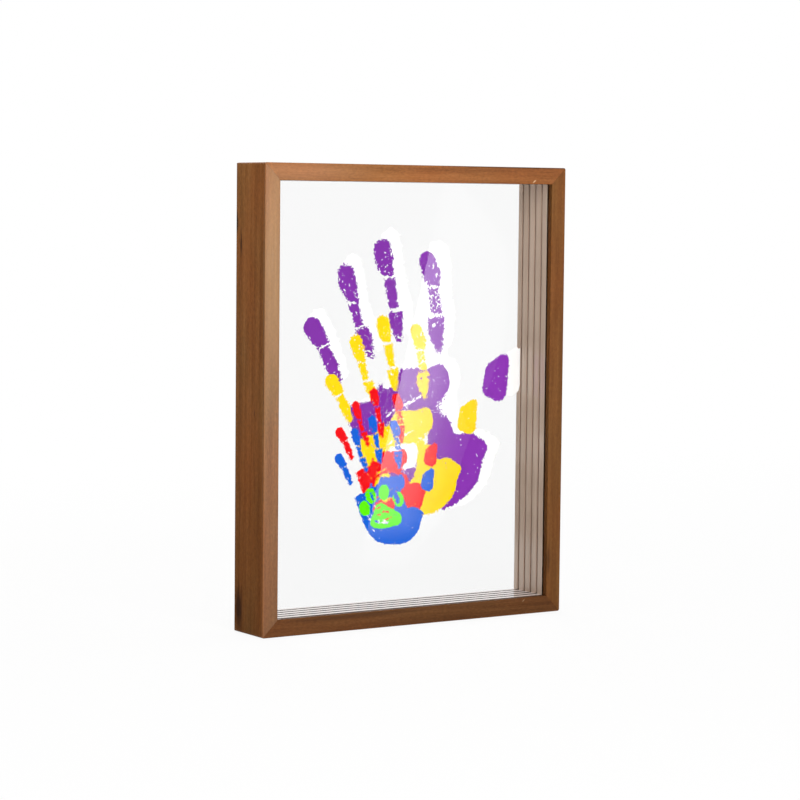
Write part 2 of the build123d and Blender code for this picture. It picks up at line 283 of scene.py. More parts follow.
def walnut(name, bar, look):
    material, tree, shader = newMaterial(name)
    coords = objectCoords(tree)
    axes = addNode(tree, "SeparateXYZ", {"Vector": coords})
    along = bar["along"]
    grain = mapped(tree, coords, place=bar["shift"], scale=slower(along, look["stretch"]))
    streak, band, fibre, pore = (
        noiseNode(tree, grain, *look[key]) for key in ("streak", "band", "fibre", "pore"))
    loose = mapped(tree, coords, scale=slower(along, look["speckleStretch"]))
    speckle = noiseNode(tree, loose, *look["speckle"])
    loose = mapped(tree, coords, place=bar["shift"], scale=slower(along, look["patchStretch"]))
    patch = noiseNode(tree, loose, *look["patch"])

    dark, middle, pale = (
        [c * h for c, h in zip(look[key], bar["hue"])] for key in ("dark", "middle", "pale"))
    figure = weighedNode(tree, (streak, band, fibre), look["weights"])
    colour = rampNode(tree, figure, list(zip(look["stops"], (dark, middle, pale))))
    # painted light: a bar darkens along its length, and whole bars differ from one another, as the light
    # falls off from the upper left
    paintedLightRamp = rangeNode(tree, axes.outputs[along], frameLow[along], frameHigh[along], *bar["paintedLightRamp"])
    colour = mixNode(tree, "MULTIPLY", 1.0, colour, paintedLightRamp)
    tint = rampNode(tree, patch, list(zip(look["tintStops"], (look["ruddy"], look["olive"]))))
    colour = mixNode(tree, "MULTIPLY", 1.0, colour, tint)
    colour = mixNode(tree, "MULTIPLY", 1.0, colour, rangeNode(tree, speckle, *look["fleckRange"]))
    pit = rangeNode(tree, pore, *look["pitRange"])
    pitted = mathNode(tree, "MULTIPLY", pit, look["pitShare"])
    colour = mixNode(tree, "MIX", pitted, colour, [c * look["pitShade"] for c in dark])

    # distances from the outer edges of the frame, for the mitres, the painted shade on the lip and the worn
    # arrises with their painted highlight
    fromSide = mathNode(tree, "SUBTRACT", halfWidth, mathNode(tree, "ABSOLUTE", axes.outputs[0]))
    level = mathNode(tree, "ABSOLUTE", mathNode(tree, "SUBTRACT", axes.outputs[2], halfHeight))
    fromEnd = mathNode(tree, "SUBTRACT", halfHeight, level)
    offMitre = mathNode(tree, "ABSOLUTE", mathNode(tree, "SUBTRACT", fromSide, fromEnd))
    line = look["glueLine"]
    glue = rangeNode(tree, offMitre, line * look["glueCore"], line, look["glueShare"], 0.0)
    colour = mixNode(tree, "MIX", glue, colour, [c * look["glueShade"] for c in dark])
    nearEdge = mathNode(tree, "MINIMUM", fromSide, fromEnd)
    behind = mathNode(tree, "SUBTRACT", axes.outputs[1], frameLow.y)
    # painted shade: the inner face of the lip, in the recess behind the front face, is darkened for the shade
    # that falls there
    lipShadeMask = rangeNode(tree, nearEdge, *(faceWidth - inset for inset in look["lipInset"]))
    lipShadeMask = mathNode(tree, "MULTIPLY", lipShadeMask, rangeNode(tree, behind, *look["lipBehind"]))
    colour = mixNode(tree, "MULTIPLY", lipShadeMask, colour, (bar["lipPaintedShade"],) * 3)
    # worn edges and painted highlight: the front outer arrises are lightened in patches, partly for wear and
    # partly for the light they catch
    corner = mathNode(tree, "MAXIMUM", nearEdge, behind)
    rubAndHighlight = rangeNode(tree, corner, 0.0, look["wornHighlightEdge"], look["wornHighlightShare"], 0.0)
    rubAndHighlight = mathNode(tree, "MULTIPLY", rubAndHighlight, rangeNode(tree, band, *look["wornHighlightBand"]))
    colour = mixNode(tree, "MIX", rubAndHighlight, colour, [c * look["wornHighlightShade"] for c in pale])

    # each mark blends in a spot of colour: knots, nicks and stains, and also painted sheen and painted shade
    for mark in bar["marksAndPaintedLight"]:
        spot = mapped(tree, coords, place=[-c for c in mark["middle"]])
        if "turn" in mark:
            spot = mapped(tree, spot, turn=(0, math.radians(mark["turn"]), 0))
        spot = addNode(tree, "VectorMath", {0: spot, 1: mark["size"]}, operation="DIVIDE").outputs[0]
        reach = addNode(tree, "VectorMath", {0: spot}, operation="LENGTH").outputs["Value"]
        fray = mathNode(tree, "SUBTRACT", fibre, 0.5)
        reach = mathNode(tree, "MULTIPLY_ADD", fray, look["markFray"], reach)
        mask = rangeNode(tree, reach, *look["markEdge"], mark["strength"], 0.0)
        colour = mixNode(tree, "MIX", mask, colour, mark["colour"])

    tree.links.new(colour, shader.inputs["Base Color"])
    tree.links.new(rangeNode(tree, fibre, *look["roughRange"]), shader.inputs["Roughness"])
    addBump(tree, shader, mathNode(tree, "MULTIPLY_ADD", pit, look["pitDepth"], fibre), *look["bump"])
    gloss = rangeNode(tree, behind, *look["glossFade"], bar["gloss"], look["plainGloss"])
    tree.links.new(gloss, shader.inputs["Specular IOR Level"])
    return material


for name, bar in walnutBars.items():
    wear(name, walnut(name + "Walnut", bar, walnutLook))
print("walnut bars done")


# clear panels: thin sheets that let light straight through and mirror on their outer faces

panelLook = {
    "clear": (0.9988, 0.9990, 0.9989),
    "index": 1.49,
    "outerShine": 1.0,
    "innerShine": 0.03,  # mirror left on the faces that look at another panel
    "frontSlotShade": (0.01, 0.008, 0.007),  # painted shade: darkens what is seen through a panel where it goes in between the strips
    "sideSlotShade": (0.95, 0.90, 0.88),
    "footSlotShade": (0.03, 0.025, 0.024),
    "frontFootShade": (0.35, 0.28, 0.26),
}
windowHalf = (halfWidth - faceWidth, halfHeight - faceWidth)


def clearSheet(name, frontShine, rearShine, sideSlotShade, footSlotShade, look):
    material, tree, shader = newMaterial(name)
    out = tree.nodes["Material Output"]
    tree.nodes.remove(shader)
    axes = addNode(tree, "SeparateXYZ", {"Vector": objectCoords(tree)})
    aside = mathNode(tree, "ABSOLUTE", axes.outputs[0])
    level = mathNode(tree, "ABSOLUTE", mathNode(tree, "SUBTRACT", axes.outputs[2], halfHeight))
    # painted shade: the panel darkens what lies behind it where it runs into the slots between the strips
    inSide = mathNode(tree, "GREATER_THAN", aside, windowHalf[0])
    inFoot = mathNode(tree, "GREATER_THAN", level, windowHalf[1])
    colour = mixNode(tree, "MIX", inSide, look["clear"], sideSlotShade)
    colour = mixNode(tree, "MIX", inFoot, colour, footSlotShade)
    through = addNode(tree, "BsdfTransparent", {"Color": colour})
    mirror = addNode(tree, "BsdfGlossy", {"Roughness": 0.0})
    fresnel = addNode(tree, "Fresnel", {"IOR": look["index"]})
    surface = addNode(tree, "NewGeometry")
    facing = addNode(tree, "SeparateXYZ", {"Vector": surface.outputs["Normal"]}).outputs[1]
    shine = rangeNode(tree, facing, -1.0, 1.0, frontShine, rearShine)
    outside = mathNode(tree, "SUBTRACT", 1.0, surface.outputs["Backfacing"])
    share = mathNode(tree, "MULTIPLY", fresnel.outputs[0], mathNode(tree, "MULTIPLY", outside, shine))
    mix = addNode(tree, "MixShader", {0: share, 1: through.outputs[0], 2: mirror.outputs[0]})
    tree.links.new(mix.outputs[0], out.inputs["Surface"])
    return material


outer, inner = panelLook["outerShine"], panelLook["innerShine"]
panelNames = sorted(n for n in nodes if n.startswith("panel_"))
for name in panelNames:
    first, last = name == panelNames[0], name == panelNames[-1]
    slotShades = [panelLook[key] for key in (("frontSlotShade", "frontFootShade") if first else ("sideSlotShade", "footSlotShade"))]
    shines = outer if first else inner, outer if last else inner
    wear(name, clearSheet(name + "Acrylic", *shines, *slotShades, panelLook))
print("panels done")


# spacer strips

stripLook = {
    # painted light: the upright and level strips are one plastic; the level strips are set far paler, for the
    # light on their upward faces, and the upright ones darker, for their shaded sides
    "upright": {"pale": (0.640, 0.496, 0.398), "dull": (0.540, 0.410, 0.322), "along": 2, "paintedSeamShade": 0.9,
                "footShade": 0.86},  # dimmer towards the foot
    "level": {"pale": (0.900, 0.800, 0.770), "dull": (0.800, 0.700, 0.665), "along": 0, "paintedSeamShade": 0.22},
    "saw": (420.0, 3.0, 0.6),  # noise: scale, detail, roughness
    "sawStretch": 0.02,
    "cloud": (24.0, 2.0),
    "weights": (0.6, 0.4),
    "stops": (0.38, 0.6),
    "seamShadeReach": (0.0009, 0.0022),  # painted shade on a strip beside a panel, from the panel's middle
    "roughRange": (0.3, 0.7, 0.06, 0.14),
    "bump": (0.04, 0.0002),
}
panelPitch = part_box("panel_2")[0].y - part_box("panel_1")[0].y
panelMid = (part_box("panel_1")[0].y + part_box("panel_1")[1].y) / 2


def stripAcrylic(name, way, look):
    material, tree, shader = newMaterial(name)
    coords = objectCoords(tree)
    drawn = mapped(tree, coords, scale=slower(way["along"], look["sawStretch"]))
    saw = noiseNode(tree, drawn, *look["saw"])
    cloud = noiseNode(tree, coords, *look["cloud"])
    figure = weighedNode(tree, (saw, cloud), look["weights"])
    colour = rampNode(tree, figure, list(zip(look["stops"], (way["dull"], way["pale"]))))
    axes = addNode(tree, "SeparateXYZ", {"Vector": coords})
    if "footShade" in way:
        shade = rangeNode(tree, axes.outputs[2], frameLow.z, frameHigh.z, way["footShade"], 1.0)
        colour = mixNode(tree, "MULTIPLY", 1.0, colour, shade)
    apart = mathNode(tree, "PINGPONG", mathNode(tree, "SUBTRACT", axes.outputs[1], panelMid), panelPitch / 2)
    # painted shade: the strips darken beside each panel slot, for the shade in the seam
    paintedSeamShade = rangeNode(tree, apart, *look["seamShadeReach"], way["paintedSeamShade"], 1.0)
    colour = mixNode(tree, "MULTIPLY", 1.0, colour, paintedSeamShade)
    tree.links.new(colour, shader.inputs["Base Color"])
    tree.links.new(rangeNode(tree, saw, *look["roughRange"]), shader.inputs["Roughness"])
    addBump(tree, shader, saw, *look["bump"])
    return material


shadedUprightStrip, litLevelStrip = (
    stripAcrylic(way + "Strip", stripLook[way], stripLook) for way in ("upright", "level"))
for name in sorted(n for n in nodes if n.startswith("spacer_")):
    wear(name, shadedUprightStrip if name.endswith(("left", "right")) else litLevelStrip)
print("spacer strips done")


# metal at the rear

metalLook = {
    "zinc": {"colour": (0.60, 0.60, 0.585), "dull": (0.42, 0.42, 0.41), "rough": (0.24, 0.42)},
    "bareSteel": {"colour": (0.38, 0.37, 0.36), "dull": (0.20, 0.19, 0.18), "rough": (0.34, 0.52)},
    "brassPlate": {"colour": (0.78, 0.57, 0.25), "dull": (0.55, 0.38, 0.16), "rough": (0.22, 0.40)},
}
metalGrain = {
    "brush": (2400.0, 2.0),  # noise: scale, detail, roughness
    "brushStretch": 0.08,
    "brushRange": (0.3, 0.7),
    "stain": (320.0, 3.0, 0.6),
    "stops": (0.36, 0.56),
    "bump": (0.08, 0.0001),
}
metalNodes = {
    "zinc": [n for n in nodes if n.endswith("_button")] + ["button_screws"],
    "bareSteel": ["corner_v_nails"],
    "brassPlate": ["sawtooth_hanger", "hanger_nails"],
}


def metal(name, look, grain):
    material, tree, shader = newMaterial(name)
    coords = objectCoords(tree)
    brushed = noiseNode(tree, mapped(tree, coords, scale=slower(2, grain["brushStretch"])), *grain["brush"])
    stain = noiseNode(tree, coords, *grain["stain"])
    colour = rampNode(tree, stain, list(zip(grain["stops"], (look["dull"], look["colour"]))))
    tree.links.new(colour, shader.inputs["Base Color"])
    shader.inputs["Metallic"].default_value = 1.0
    rough = rangeNode(tree, brushed, *grain["brushRange"], *look["rough"])
    tree.links.new(rough, shader.inputs["Roughness"])
    addBump(tree, shader, brushed, *grain["bump"])
    return material


for finish, names in metalNodes.items():
    coat = metal(finish, metalLook[finish], metalGrain)
    for name in names:
        wear(name, coat)
print("metal done")


# paint prints: films whose edges and bare spots are torn out of the plain outlines by noise

handBare = (  # unpainted strokes across every hand: middle, half length, half width, tilt in degrees
    (-17.0, 24.5, 8.0, 0.55, 26.0),
    (-28.0, 19.5, 4.5, 0.7, 36.0),
    (-7.5, 28.0, 4.0, 0.4, 28.0),
    (-41.0, -9.0, 5.0, 0.6, -52.0),
    (-33.5, -27.0, 2.2, 0.8, -45.0),
    (-27.0, 89.5, 5.0, 0.5, 10.0),
    (6.9, 79.7, 1.7, 1.2, 15.0),
    (13.8, 80.4, 1.3, 0.5, 0.0),
    (5.7, 120.6, 2.4, 0.6, 75.0),
    (8.3, 114.6, 1.8, 0.6, 75.0),
    (0.0, 110.3, 1.0, 0.6, 0.0),
)
handDry = (  # places where the paint is thin: middle, reach, dryness
    (7.5, 97.0, 10.5, 1.0),
    (9.0, 77.0, 9.0, 0.35),
    (-64.0, 108.0, 11.0, 0.55),
    (-58.0, 88.0, 8.0, 0.5),
    (-51.0, 76.0, 8.0, 0.6),
    (-45.0, 61.0, 7.0, 0.8),
    (-34.5, 122.0, 9.0, 0.5),
    (-26.0, 86.0, 6.0, 0.4),
    (-22.5, 70.0, 5.0, 0.6),
    (5.0, 112.0, 6.0, 0.3),
    (-75.0, 50.0, 8.0, 0.4),
    (-16.0, 24.0, 9.0, 0.6),
    (-30.0, 19.0, 7.0, 0.55),
    (10.0, 23.0, 7.0, 0.6),
    (-42.0, 16.0, 8.0, 0.5),
    (-16.0, -19.0, 9.0, 0.6),
    (-40.0, -8.0, 8.0, 0.5),
)
handTorn = (  # places where the edge is torn: middle, reach, extra depth
    (14.0, 21.0, 10.0, 2.2),
    (-37.0, 37.5, 8.0, 1.4),
    (-26.0, 42.0, 8.0, 0.5),
    (-14.0, -19.0, 13.0, 2.4),
    (-30.0, 15.0, 10.0, 2.0),
    (-46.0, 61.0, 7.0, 1.6),
    (-22.0, 70.0, 7.0, 1.4),
    (10.0, 63.0, 7.0, 1.2),
    (-72.0, 44.0, 7.0, 1.0),
    (0.0, 50.0, 9.0, 0.4),
)
handCalm = (  # places where the edge is smooth: middle, reach, calm
    (61.0, 43.0, 24.0, 0.6),
    (1.0, 127.0, 11.0, 0.7),
    (40.0, -18.0, 42.0, 0.4),
    (19.0, 42.0, 12.0, 0.6),
    (-8.0, -48.0, 34.0, 0.45),
    (-94.0, 84.0, 12.0, 0.6),
)
pawBare = (
    (-6.2, 7.4, 1.7, 0.8, 24.0),
    (-0.8, 4.4, 2.5, 0.75, -6.0),
    (-5.2, 2.3, 1.6, 0.6, 6.0),
    (0.6, -0.6, 3.1, 0.65, 22.0),
    (-7.4, -1.9, 3.0, 0.9, -14.0),
    (-1.4, -3.2, 3.2, 0.8, -6.0),
    (-11.9, 15.4, 2.8, 0.75, 108.0),
    (8.4, 13.4, 4.2, 1.9, 118.0),
)
paintPrints = {
    "paw_print": {"slot": "green_paint", "colour": (0.108, 0.820, 0.002), "middle": (-0.0221, 0.0743),
                  "scale": 1.0, "cell": 0.24, "grain": 1.1, "ragged": 0.8, "bare": pawBare,
                  "dry": ((9.8, 12.4, 6.0, 0.7), (-12.6, 15.8, 5.0, 0.6)), "torn": (), "calm": ()},
    "blue_hand_print": {"slot": "blue_paint", "colour": (0.006, 0.112, 0.630), "middle": (-0.0119, 0.0784),
                        "scale": 0.473, "cell": 0.40, "grain": 0.6, "ragged": 2.6},
    "red_hand_print": {"slot": "red_paint", "colour": (0.830, 0.003, 0.007), "middle": (-0.0054, 0.0942),
                       "scale": 0.488, "cell": 0.40, "grain": 0.6, "ragged": 2.6},
    "yellow_hand_print": {"slot": "yellow_paint", "colour": (0.960, 0.665, 0.003), "middle": (0.0156, 0.1088),
                          "scale": 0.737, "cell": 0.30, "grain": 0.85, "ragged": 2.3},
    # painted light: the purple print is darker at its middle and lighter at its right edge, against the shade
    # near the right wall
    "purple_hand_print": {"slot": "purple_paint", "colour": (0.246, 0.036, 0.430), "middle": (0.0291, 0.1244),
                          "scale": 1.0, "cell": 0.25, "paintedLightRamp": (0.87, 1.10)},
    # painted shadow: the white coat is the purple print's drop shadow, offset up and to the right, made into
    # a white film
    "white_coat": {"slot": "white_paint", "colour": (0.985, 0.985, 0.985), "middle": (0.0375, 0.1266),
                   "scale": 1.04, "cell": 0.6, "grain": 0.6, "ragged": 2.0, "thin": 0.985,
                   "paintedLightRamp": (0.99, 1.01), "bare": (), "dry": (), "torn": (),
                   "calm": ((63.0, 40.0, 26.0, 1.0),), "speckLimit": 2.0},
}
filmLook = {
    "grain": 1.0,  # how fast the noise below changes, per millimetre on a grown hand
    "edgeNoise": ((0.50, 4.5), (1.05, 8.5), (1.45, 12.5)),  # rate and layer, coarse to finest
    "edgeWeights": (0.30, 0.7, 0.7),
    "strokeWeights": (0.6, 0.8, 0.5),
    "speckNoise": ((0.65, 20.5), (1.00, 27.5)),
    "speckWeights": (0.40, 0.75),
    "speckSlope": 2.0,
    "noiseTurn": (0.86, 0.51),  # cosine and sine, so that noise and grid don't line up
    "tornInset": 0.2,
    "ragged": 2.1,  # depth of the torn edge, in millimetres on a grown hand
    "bare": handBare,
    "dry": handDry,
    "torn": handTorn,
    "calm": handCalm,
    "speckLimit": 0.60,
    "thinning": 0.48,  # how far a dry place lowers that limit
    "margin": 2.4,  # how far outside its outline paint may reach
    "smallest": 0.12,  # square millimetres
    "stripGap": 0.0002,  # metres of clear panel left beside the strips
    "edgeShare": (0.08, 0.92),  # an edge keeps this far from the grid's own points
    "thin": 0.93,  # shade of the thinnest paint
    "paintedLightRamp": (1.0, 0.98),  # painted light, from the middle of the print to its right edge
}


def frontOutlines(node):
    # closed outlines of the film's front face, as (x, z) points
    mesh = bmesh.new()
    mesh.from_mesh(node.data)
    bmesh.ops.remove_doubles(mesh, verts=mesh.verts, dist=1e-6)
    front = {face for face in mesh.faces if face.normal.y < -0.9}
    following = {}
    for face in front:
        for corner in face.loops:
            if not any(other in front for other in corner.edge.link_faces if other is not face):
                following[corner.vert] = corner.link_loop_next.vert
    outlines = []
    while following:
        start, place = following.popitem()
        outline = [start.co.xz]
        while place is not start:
            outline.append(place.co.xz)
            place = following.pop(place)
        outlines.append(outline)
    mesh.free()
    return outlines


def evenPoints(outline, step):
    # points spaced evenly along a closed line
    points = []
    for a, b in zip(outline, outline[1:] + outline[:1]):
        count = max(1, math.ceil((b - a).length / step))
        points += [a.lerp(b, part / count) for part in range(count)]
    return points


def insideCells(outlines, cell):
    # grid points that lie inside the outlines, by the crossings on each row
    crossings = {}
    for outline in outlines:
        for a, b in zip(outline, outline[1:] + outline[:1]):
            low, high = sorted((a.y, b.y))
            for row in range(math.ceil(low / cell), math.ceil(high / cell)):
                share = (row * cell - a.y) / (b.y - a.y)
                crossings.setdefault(row, []).append(a.x + share * (b.x - a.x))
    cells = set()
    for row, places in crossings.items():
        places.sort()
        for start, end in zip(places[::2], places[1::2]):
            cells.update((column, row) for column in range(math.ceil(start / cell), math.ceil(end / cell)))
    return cells


def nearness(point, spots):
    # strongest of the soft round spots at a point
    best = 0.0
    for x, y, reach, strength in spots:
        apart = math.hypot(point.x - x, point.y - y) / reach
        if apart < 1.0:
            best = max(best, strength * (1.0 - apart * apart))
    return best


def strokeGap(point, strokes):
    # distance outside the nearest unpainted stroke, below zero inside it
    gap = 9.0  # no stroke near
    for x, y, length, width, tilt in strokes:
        turn = math.radians(tilt)
        away = Vector((point.x - x, point.y - y))
        along = away.x * math.cos(turn) + away.y * math.sin(turn)
        across = away.y * math.cos(turn) - away.x * math.sin(turn)
        gap = min(gap, (math.hypot(along / length, across / width) - 1.0) * width)
    return gap


def grainsAt(point, layers, look):
    cosine, sine = look["noiseTurn"]
    across = cosine * point.x + sine * point.y
    up = cosine * point.y - sine * point.x
    rates = [(rate * look["grain"], layer) for rate, layer in layers]
    return [noise.noise(Vector((across * rate, up * rate, layer))) for rate, layer in rates]


def weighed(values, weights, start=0.0):
    return sum((value * weight for value, weight in zip(values, weights)), start)


def paintDepth(point, depth, look):
    # above zero where there is paint; depth is the distance inside the plain outline
    edge = grainsAt(point, look["edgeNoise"], look)
    speck = weighed(grainsAt(point, look["speckNoise"], look), look["speckWeights"])
    torn = nearness(point, look["torn"])
    ragged = look["ragged"] * (1.0 - nearness(point, look["calm"])) + torn
    value = depth + ragged * weighed(edge, look["edgeWeights"]) - look["tornInset"] * torn
    limit = look["speckLimit"] - look["thinning"] * nearness(point, look["dry"])
    value = min(value, (limit - speck) * look["speckSlope"])
    return min(value, weighed(edge, look["strokeWeights"], strokeGap(point, look["bare"])))


def areaOf(points):
    return sum(a.x * b.y - b.x * a.y for a, b in zip(points, points[1:] + points[:1])) / 2


def raggedLoops(outlines, look):
    # walks the edge of the painted area over a fine grid, as closed lines of (x, z) points
    unit = look["scale"] * 0.001  # a millimetre on a grown hand
    unpainted = -1.0
    cell = look["cell"] * unit
    rim = [point for outline in outlines for point in evenPoints(outline, cell)]
    nearRim = kdtree.KDTree(len(rim))
    for index, point in enumerate(rim):
        nearRim.insert((point.x, point.y, 0), index)
    nearRim.balance()
    inside = insideCells(outlines, cell)
    reach = math.ceil(look["margin"] / look["cell"])
    spread = range(-reach, reach + 1)
    rimCells = {(round(point.x / cell), round(point.y / cell)) for point in rim}
    cells = inside | {(c + i, r + j) for c, r in rimCells for i in spread for j in spread}
    middle = Vector(look["middle"])
    values = {}
    for column, row in cells:
        place = Vector((column * cell, row * cell))
        apart = nearRim.find((place.x, place.y, 0))[2] / unit
        depth = apart if (column, row) in inside else -apart
        clear = (windowHalf[0] - look["stripGap"] - abs(place.x)) / unit
        values[column, row] = min(clear, paintDepth((place - middle) / unit, depth, look))

    following = {}
    for column, row in cells:
        corners = ((column, row), (column + 1, row), (column + 1, row + 1), (column, row + 1))
        painted = [values.get(corner, unpainted) > 0 for corner in corners]
        if all(painted) or not any(painted):
            continue
        for side in range(4):
            if painted[side] and not painted[(side + 1) % 4]:  # paint ends here, and began on a side before
                first = side
                while painted[first]:
                    first = (first - 1) % 4
                leave = frozenset((corners[side], corners[(side + 1) % 4]))
                following[leave] = frozenset((corners[first], corners[(first + 1) % 4]))

    def crossing(edge):
        a, b = sorted(edge)
        va, vb = values.get(a, unpainted), values.get(b, unpainted)
        least, most = look["edgeShare"]
        share = min(most, max(least, va / (va - vb)))
        return Vector(a).lerp(Vector(b), share) * cell

    loops = []
    for start in sorted(following, key=sorted):
        if start not in following:
            continue
        loop = []
        edge = start
        while edge in following:
            loop.append(crossing(edge))
            edge = following.pop(edge)
        if len(loop) > 3 and abs(areaOf(loop)) > look["smallest"] * unit * unit:
            loops.append(loop)
    return loops


paintLook = {
    "cloud": (140.0, 3.0, 0.6),  # noise: scale, detail, roughness
    "skin": (1900.0, 2.0),
    "skinTurn": 0.5,
    "skinStretch": 0.35,
    "weights": (0.6, 0.4),
    "stops": (0.36, 0.62),
    "thick": 1.03,  # shade of the thickest paint
    "roughRange": (0.3, 0.7, 0.34, 0.52),
    "bump": (0.15, 0.0002),
    "specular": 0.02,
}


def paint(name, film, low, high, look):
    material, tree, shader = newMaterial(name)
    coords = objectCoords(tree)
    cloud = noiseNode(tree, coords, *look["cloud"])
    drawn = mapped(tree, coords, turn=(0, look["skinTurn"], 0), scale=slower(2, look["skinStretch"]))
    skin = noiseNode(tree, drawn, *look["skin"])
    figure = weighedNode(tree, (cloud, skin), look["weights"])
    thin = [c * film["thin"] for c in film["colour"]]
    thick = [min(1.0, c * look["thick"]) for c in film["colour"]]
    shade = rampNode(tree, figure, list(zip(look["stops"], (thin, thick))))
    across = addNode(tree, "SeparateXYZ", {"Vector": coords}).outputs[0]
    # painted light: the paint's colour is ramped from the middle of the print to its right edge, for how the
    # light falls across the frame
    paintedLightRamp = rangeNode(tree, across, (low.x + high.x) / 2, high.x, *film["paintedLightRamp"])
    tree.links.new(mixNode(tree, "MULTIPLY", 1.0, shade, paintedLightRamp), shader.inputs["Base Color"])
    tree.links.new(rangeNode(tree, skin, *look["roughRange"]), shader.inputs["Roughness"])
    addBump(tree, shader, figure, *look["bump"])
    shader.inputs["Specular IOR Level"].default_value = look["specular"]
    return material


def paintFilm(name, look):
    low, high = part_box(name)
    look = filmLook | look
    lines = raggedLoops(frontOutlines(nodes[name]), look)
    curve = bpy.data.curves.new(name + "Film", "CURVE")
    curve.dimensions = "2D"
    curve.fill_mode = "BOTH"
    curve.extrude = (high.y - low.y) / 2
    for line in lines:
        spline = curve.splines.new("POLY")
        spline.points.add(len(line) - 1)
        for point, place in zip(spline.points, line):
            point.co = (place.x, place.y, 0, 1)
        spline.use_cyclic_u = True
    piece = bpy.data.objects.new(name + "Film", curve)
    scene.collection.objects.link(piece)
    bpy.ops.object.select_all(action="DESELECT")
    piece.select_set(True)
    bpy.context.view_layer.objects.active = piece
    bpy.ops.object.convert(target="MESH")
    piece = bpy.context.object
    piece.rotation_euler = (math.pi / 2, 0, 0)  # stand the flat film up in the frame
    piece.location = (0, (low.y + high.y) / 2, 0)
    bpy.ops.object.transform_apply(location=True, rotation=True, scale=True)
    bpy.ops.object.mode_set(mode="EDIT")
    bpy.ops.mesh.select_all(action="SELECT")
    bpy.ops.mesh.remove_doubles(threshold=1e-6)
    bpy.ops.mesh.normals_make_consistent(inside=False)
    bpy.ops.object.mode_set(mode="OBJECT")
    piece.data.materials.clear()
    piece.data.materials.append(paint(look["slot"] + "Film", look, low, high, paintLook))
    piece.visible_shadow = False  # the photo shows no shade or tint on the prints behind
    piece.visible_diffuse = False
    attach(piece, "frame")
    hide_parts(name)
    print("print", name, len(lines), "outlines,", len(piece.data.polygons), "faces")


for name, look in paintPrints.items():
    paintFilm(name, look)


# floor, backdrop and light

studioLook = {
    "floorSize": 60.0,
    "floorDrop": 0.0004,
    "floorColour": (0.95, 0.95, 0.95),
    "shadowShare": 0.10,  # how much of the floor's own shading the camera sees near the frame
    "shadowReach": (0.25, 1.4),  # metres over which that fades into plain white
    "ambient": 0.46,
    "ambientColour": (1.0, 0.99, 0.975),
    "bounces": 16,
    "clearBounces": 48,  # every panel and its paint is passed on the way to the backdrop
}


def matteMaterial(name, colour):
    material, tree, shader = newMaterial(name)
    shader.inputs["Base Color"].default_value = (*colour, 1.0)
    shader.inputs["Roughness"].default_value = 1.0
    shader.inputs["Specular IOR Level"].default_value = 0.0
    return material, tree, shader


def seenNode(tree):
    # 1 for what the camera sees directly, mirrored or through a panel
    path = addNode(tree, "LightPath")
    seen = mathNode(tree, "MAXIMUM", path.outputs["Is Camera Ray"], path.outputs["Is Glossy Ray"])
    return mathNode(tree, "MAXIMUM", seen, path.outputs["Is Transmission Ray"])


def makeFloor(look):
    bpy.ops.object.select_all(action="DESELECT")
    bpy.ops.mesh.primitive_plane_add(size=look["floorSize"], location=(0, 0, -look["floorDrop"]))
    floor = bpy.context.object
    floor.name = "paleFloor"
    material, tree, shader = matteMaterial("paleFloor", look["floorColour"])
    away = addNode(tree, "VectorMath", {0: objectCoords(tree)}, operation="LENGTH").outputs["Value"]
    white = rangeNode(tree, away, *look["shadowReach"], 1.0 - look["shadowShare"], 1.0)
    glow = addNode(tree, "Emission", {"Color": (1, 1, 1, 1), "Strength": 1.0})
    share = mathNode(tree, "MULTIPLY", seenNode(tree), white)
    mix = addNode(tree, "MixShader", {0: share, 1: shader.outputs[0], 2: glow.outputs[0]})
    tree.links.new(mix.outputs[0], tree.nodes["Material Output"].inputs["Surface"])
    floor.data.materials.append(material)


def makeWorld(look):
    world = bpy.data.worlds.new("studioWhite")
    scene.world = world
    world.use_nodes = True
    tree = world.node_tree
    soft = tree.nodes["Background"]
    soft.inputs["Color"].default_value = (*look["ambientColour"], 1.0)
    soft.inputs["Strength"].default_value = look["ambient"]
    white = addNode(tree, "Background", {"Color": (1, 1, 1, 1), "Strength": 1.0})
    mix = addNode(tree, "MixShader", {0: seenNode(tree), 1: soft.outputs[0], 2: white.outputs[0]})
    tree.links.new(mix.outputs[0], tree.nodes["World Output"].inputs["Surface"])


lamps = {
    "keyLamp": {"place": (-0.64, -2.53, 1.55), "aim": (0.0, 0.0, 0.16), "power": 62.0, "size": 1.5},
    "sheenLamp": {"place": (0.55, -1.50, 0.33), "aim": (-0.10, 0.0, 0.20), "power": 26.0, "size": 0.45,
                  "colour": (1.0, 0.94, 0.84), "glossOnly": True},
    "rearLamp": {"place": (0.35, 1.70, 1.20), "aim": (0.0, 0.0, 0.15), "power": 14.0, "size": 1.2},
}


def makeLamp(name, lamp):
    data = bpy.data.lights.new(name, "AREA")
    data.energy = lamp["power"]
    data.size = lamp["size"]
    data.color = lamp.get("colour", (1.0, 1.0, 1.0))
    light = bpy.data.objects.new(name, data)
    scene.collection.objects.link(light)
    towards = Vector(lamp["aim"]) - Vector(lamp["place"])
    light.visible_diffuse = not lamp.get("glossOnly", False)
    turn = towards.to_track_quat("-Z", "Y").to_matrix().to_4x4()
    light.matrix_world = Matrix.Translation(lamp["place"]) @ turn


